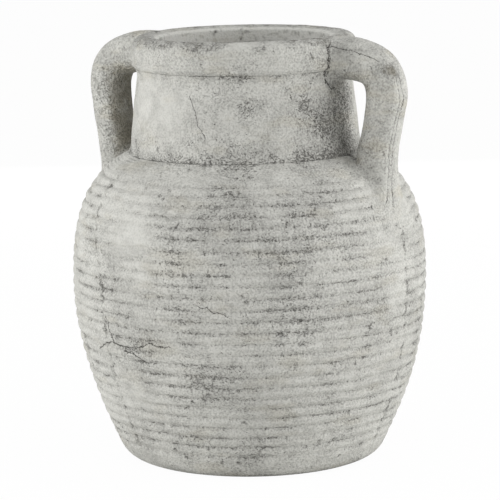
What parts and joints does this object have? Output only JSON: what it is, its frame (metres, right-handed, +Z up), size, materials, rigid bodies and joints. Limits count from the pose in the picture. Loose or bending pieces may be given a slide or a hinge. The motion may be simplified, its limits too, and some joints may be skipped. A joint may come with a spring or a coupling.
{
  "type": "amphora planter",
  "caption": "Squat two-handled amphora planter with a ribbed belly, plain neck, rolled rim and flat foot with a drain, in pale stone-washed clay.",
  "frame": {"origin": "on the ground at the middle of the foot", "axes": "+Z up through the mouth, X through both handles, the front panel towards -Y"},
  "size_m": [0.3516, 0.3498, 0.4209],
  "materials": {
    "ribbed_clay": "matt stone wash, dirt in the grooves",
    "floor_clay": "matt bare clay",
    "neck_clay": "matt stone wash",
    "rim_clay": "matt stone wash, rubbed crest",
    "handle_clay": "matt stone wash, pitted"
  },
  "bodies": {
    "root": {"belly_panel_front": "ribbed_clay", "belly_panel_rear": "ribbed_clay", "belly_panel_left": "ribbed_clay", "floor_slab": "floor_clay", "neck_collar": "neck_clay", "rim_band": "rim_clay", "handle_right": "handle_clay", "handle_left": "handle_clay"}
  },
  "joints": []
}
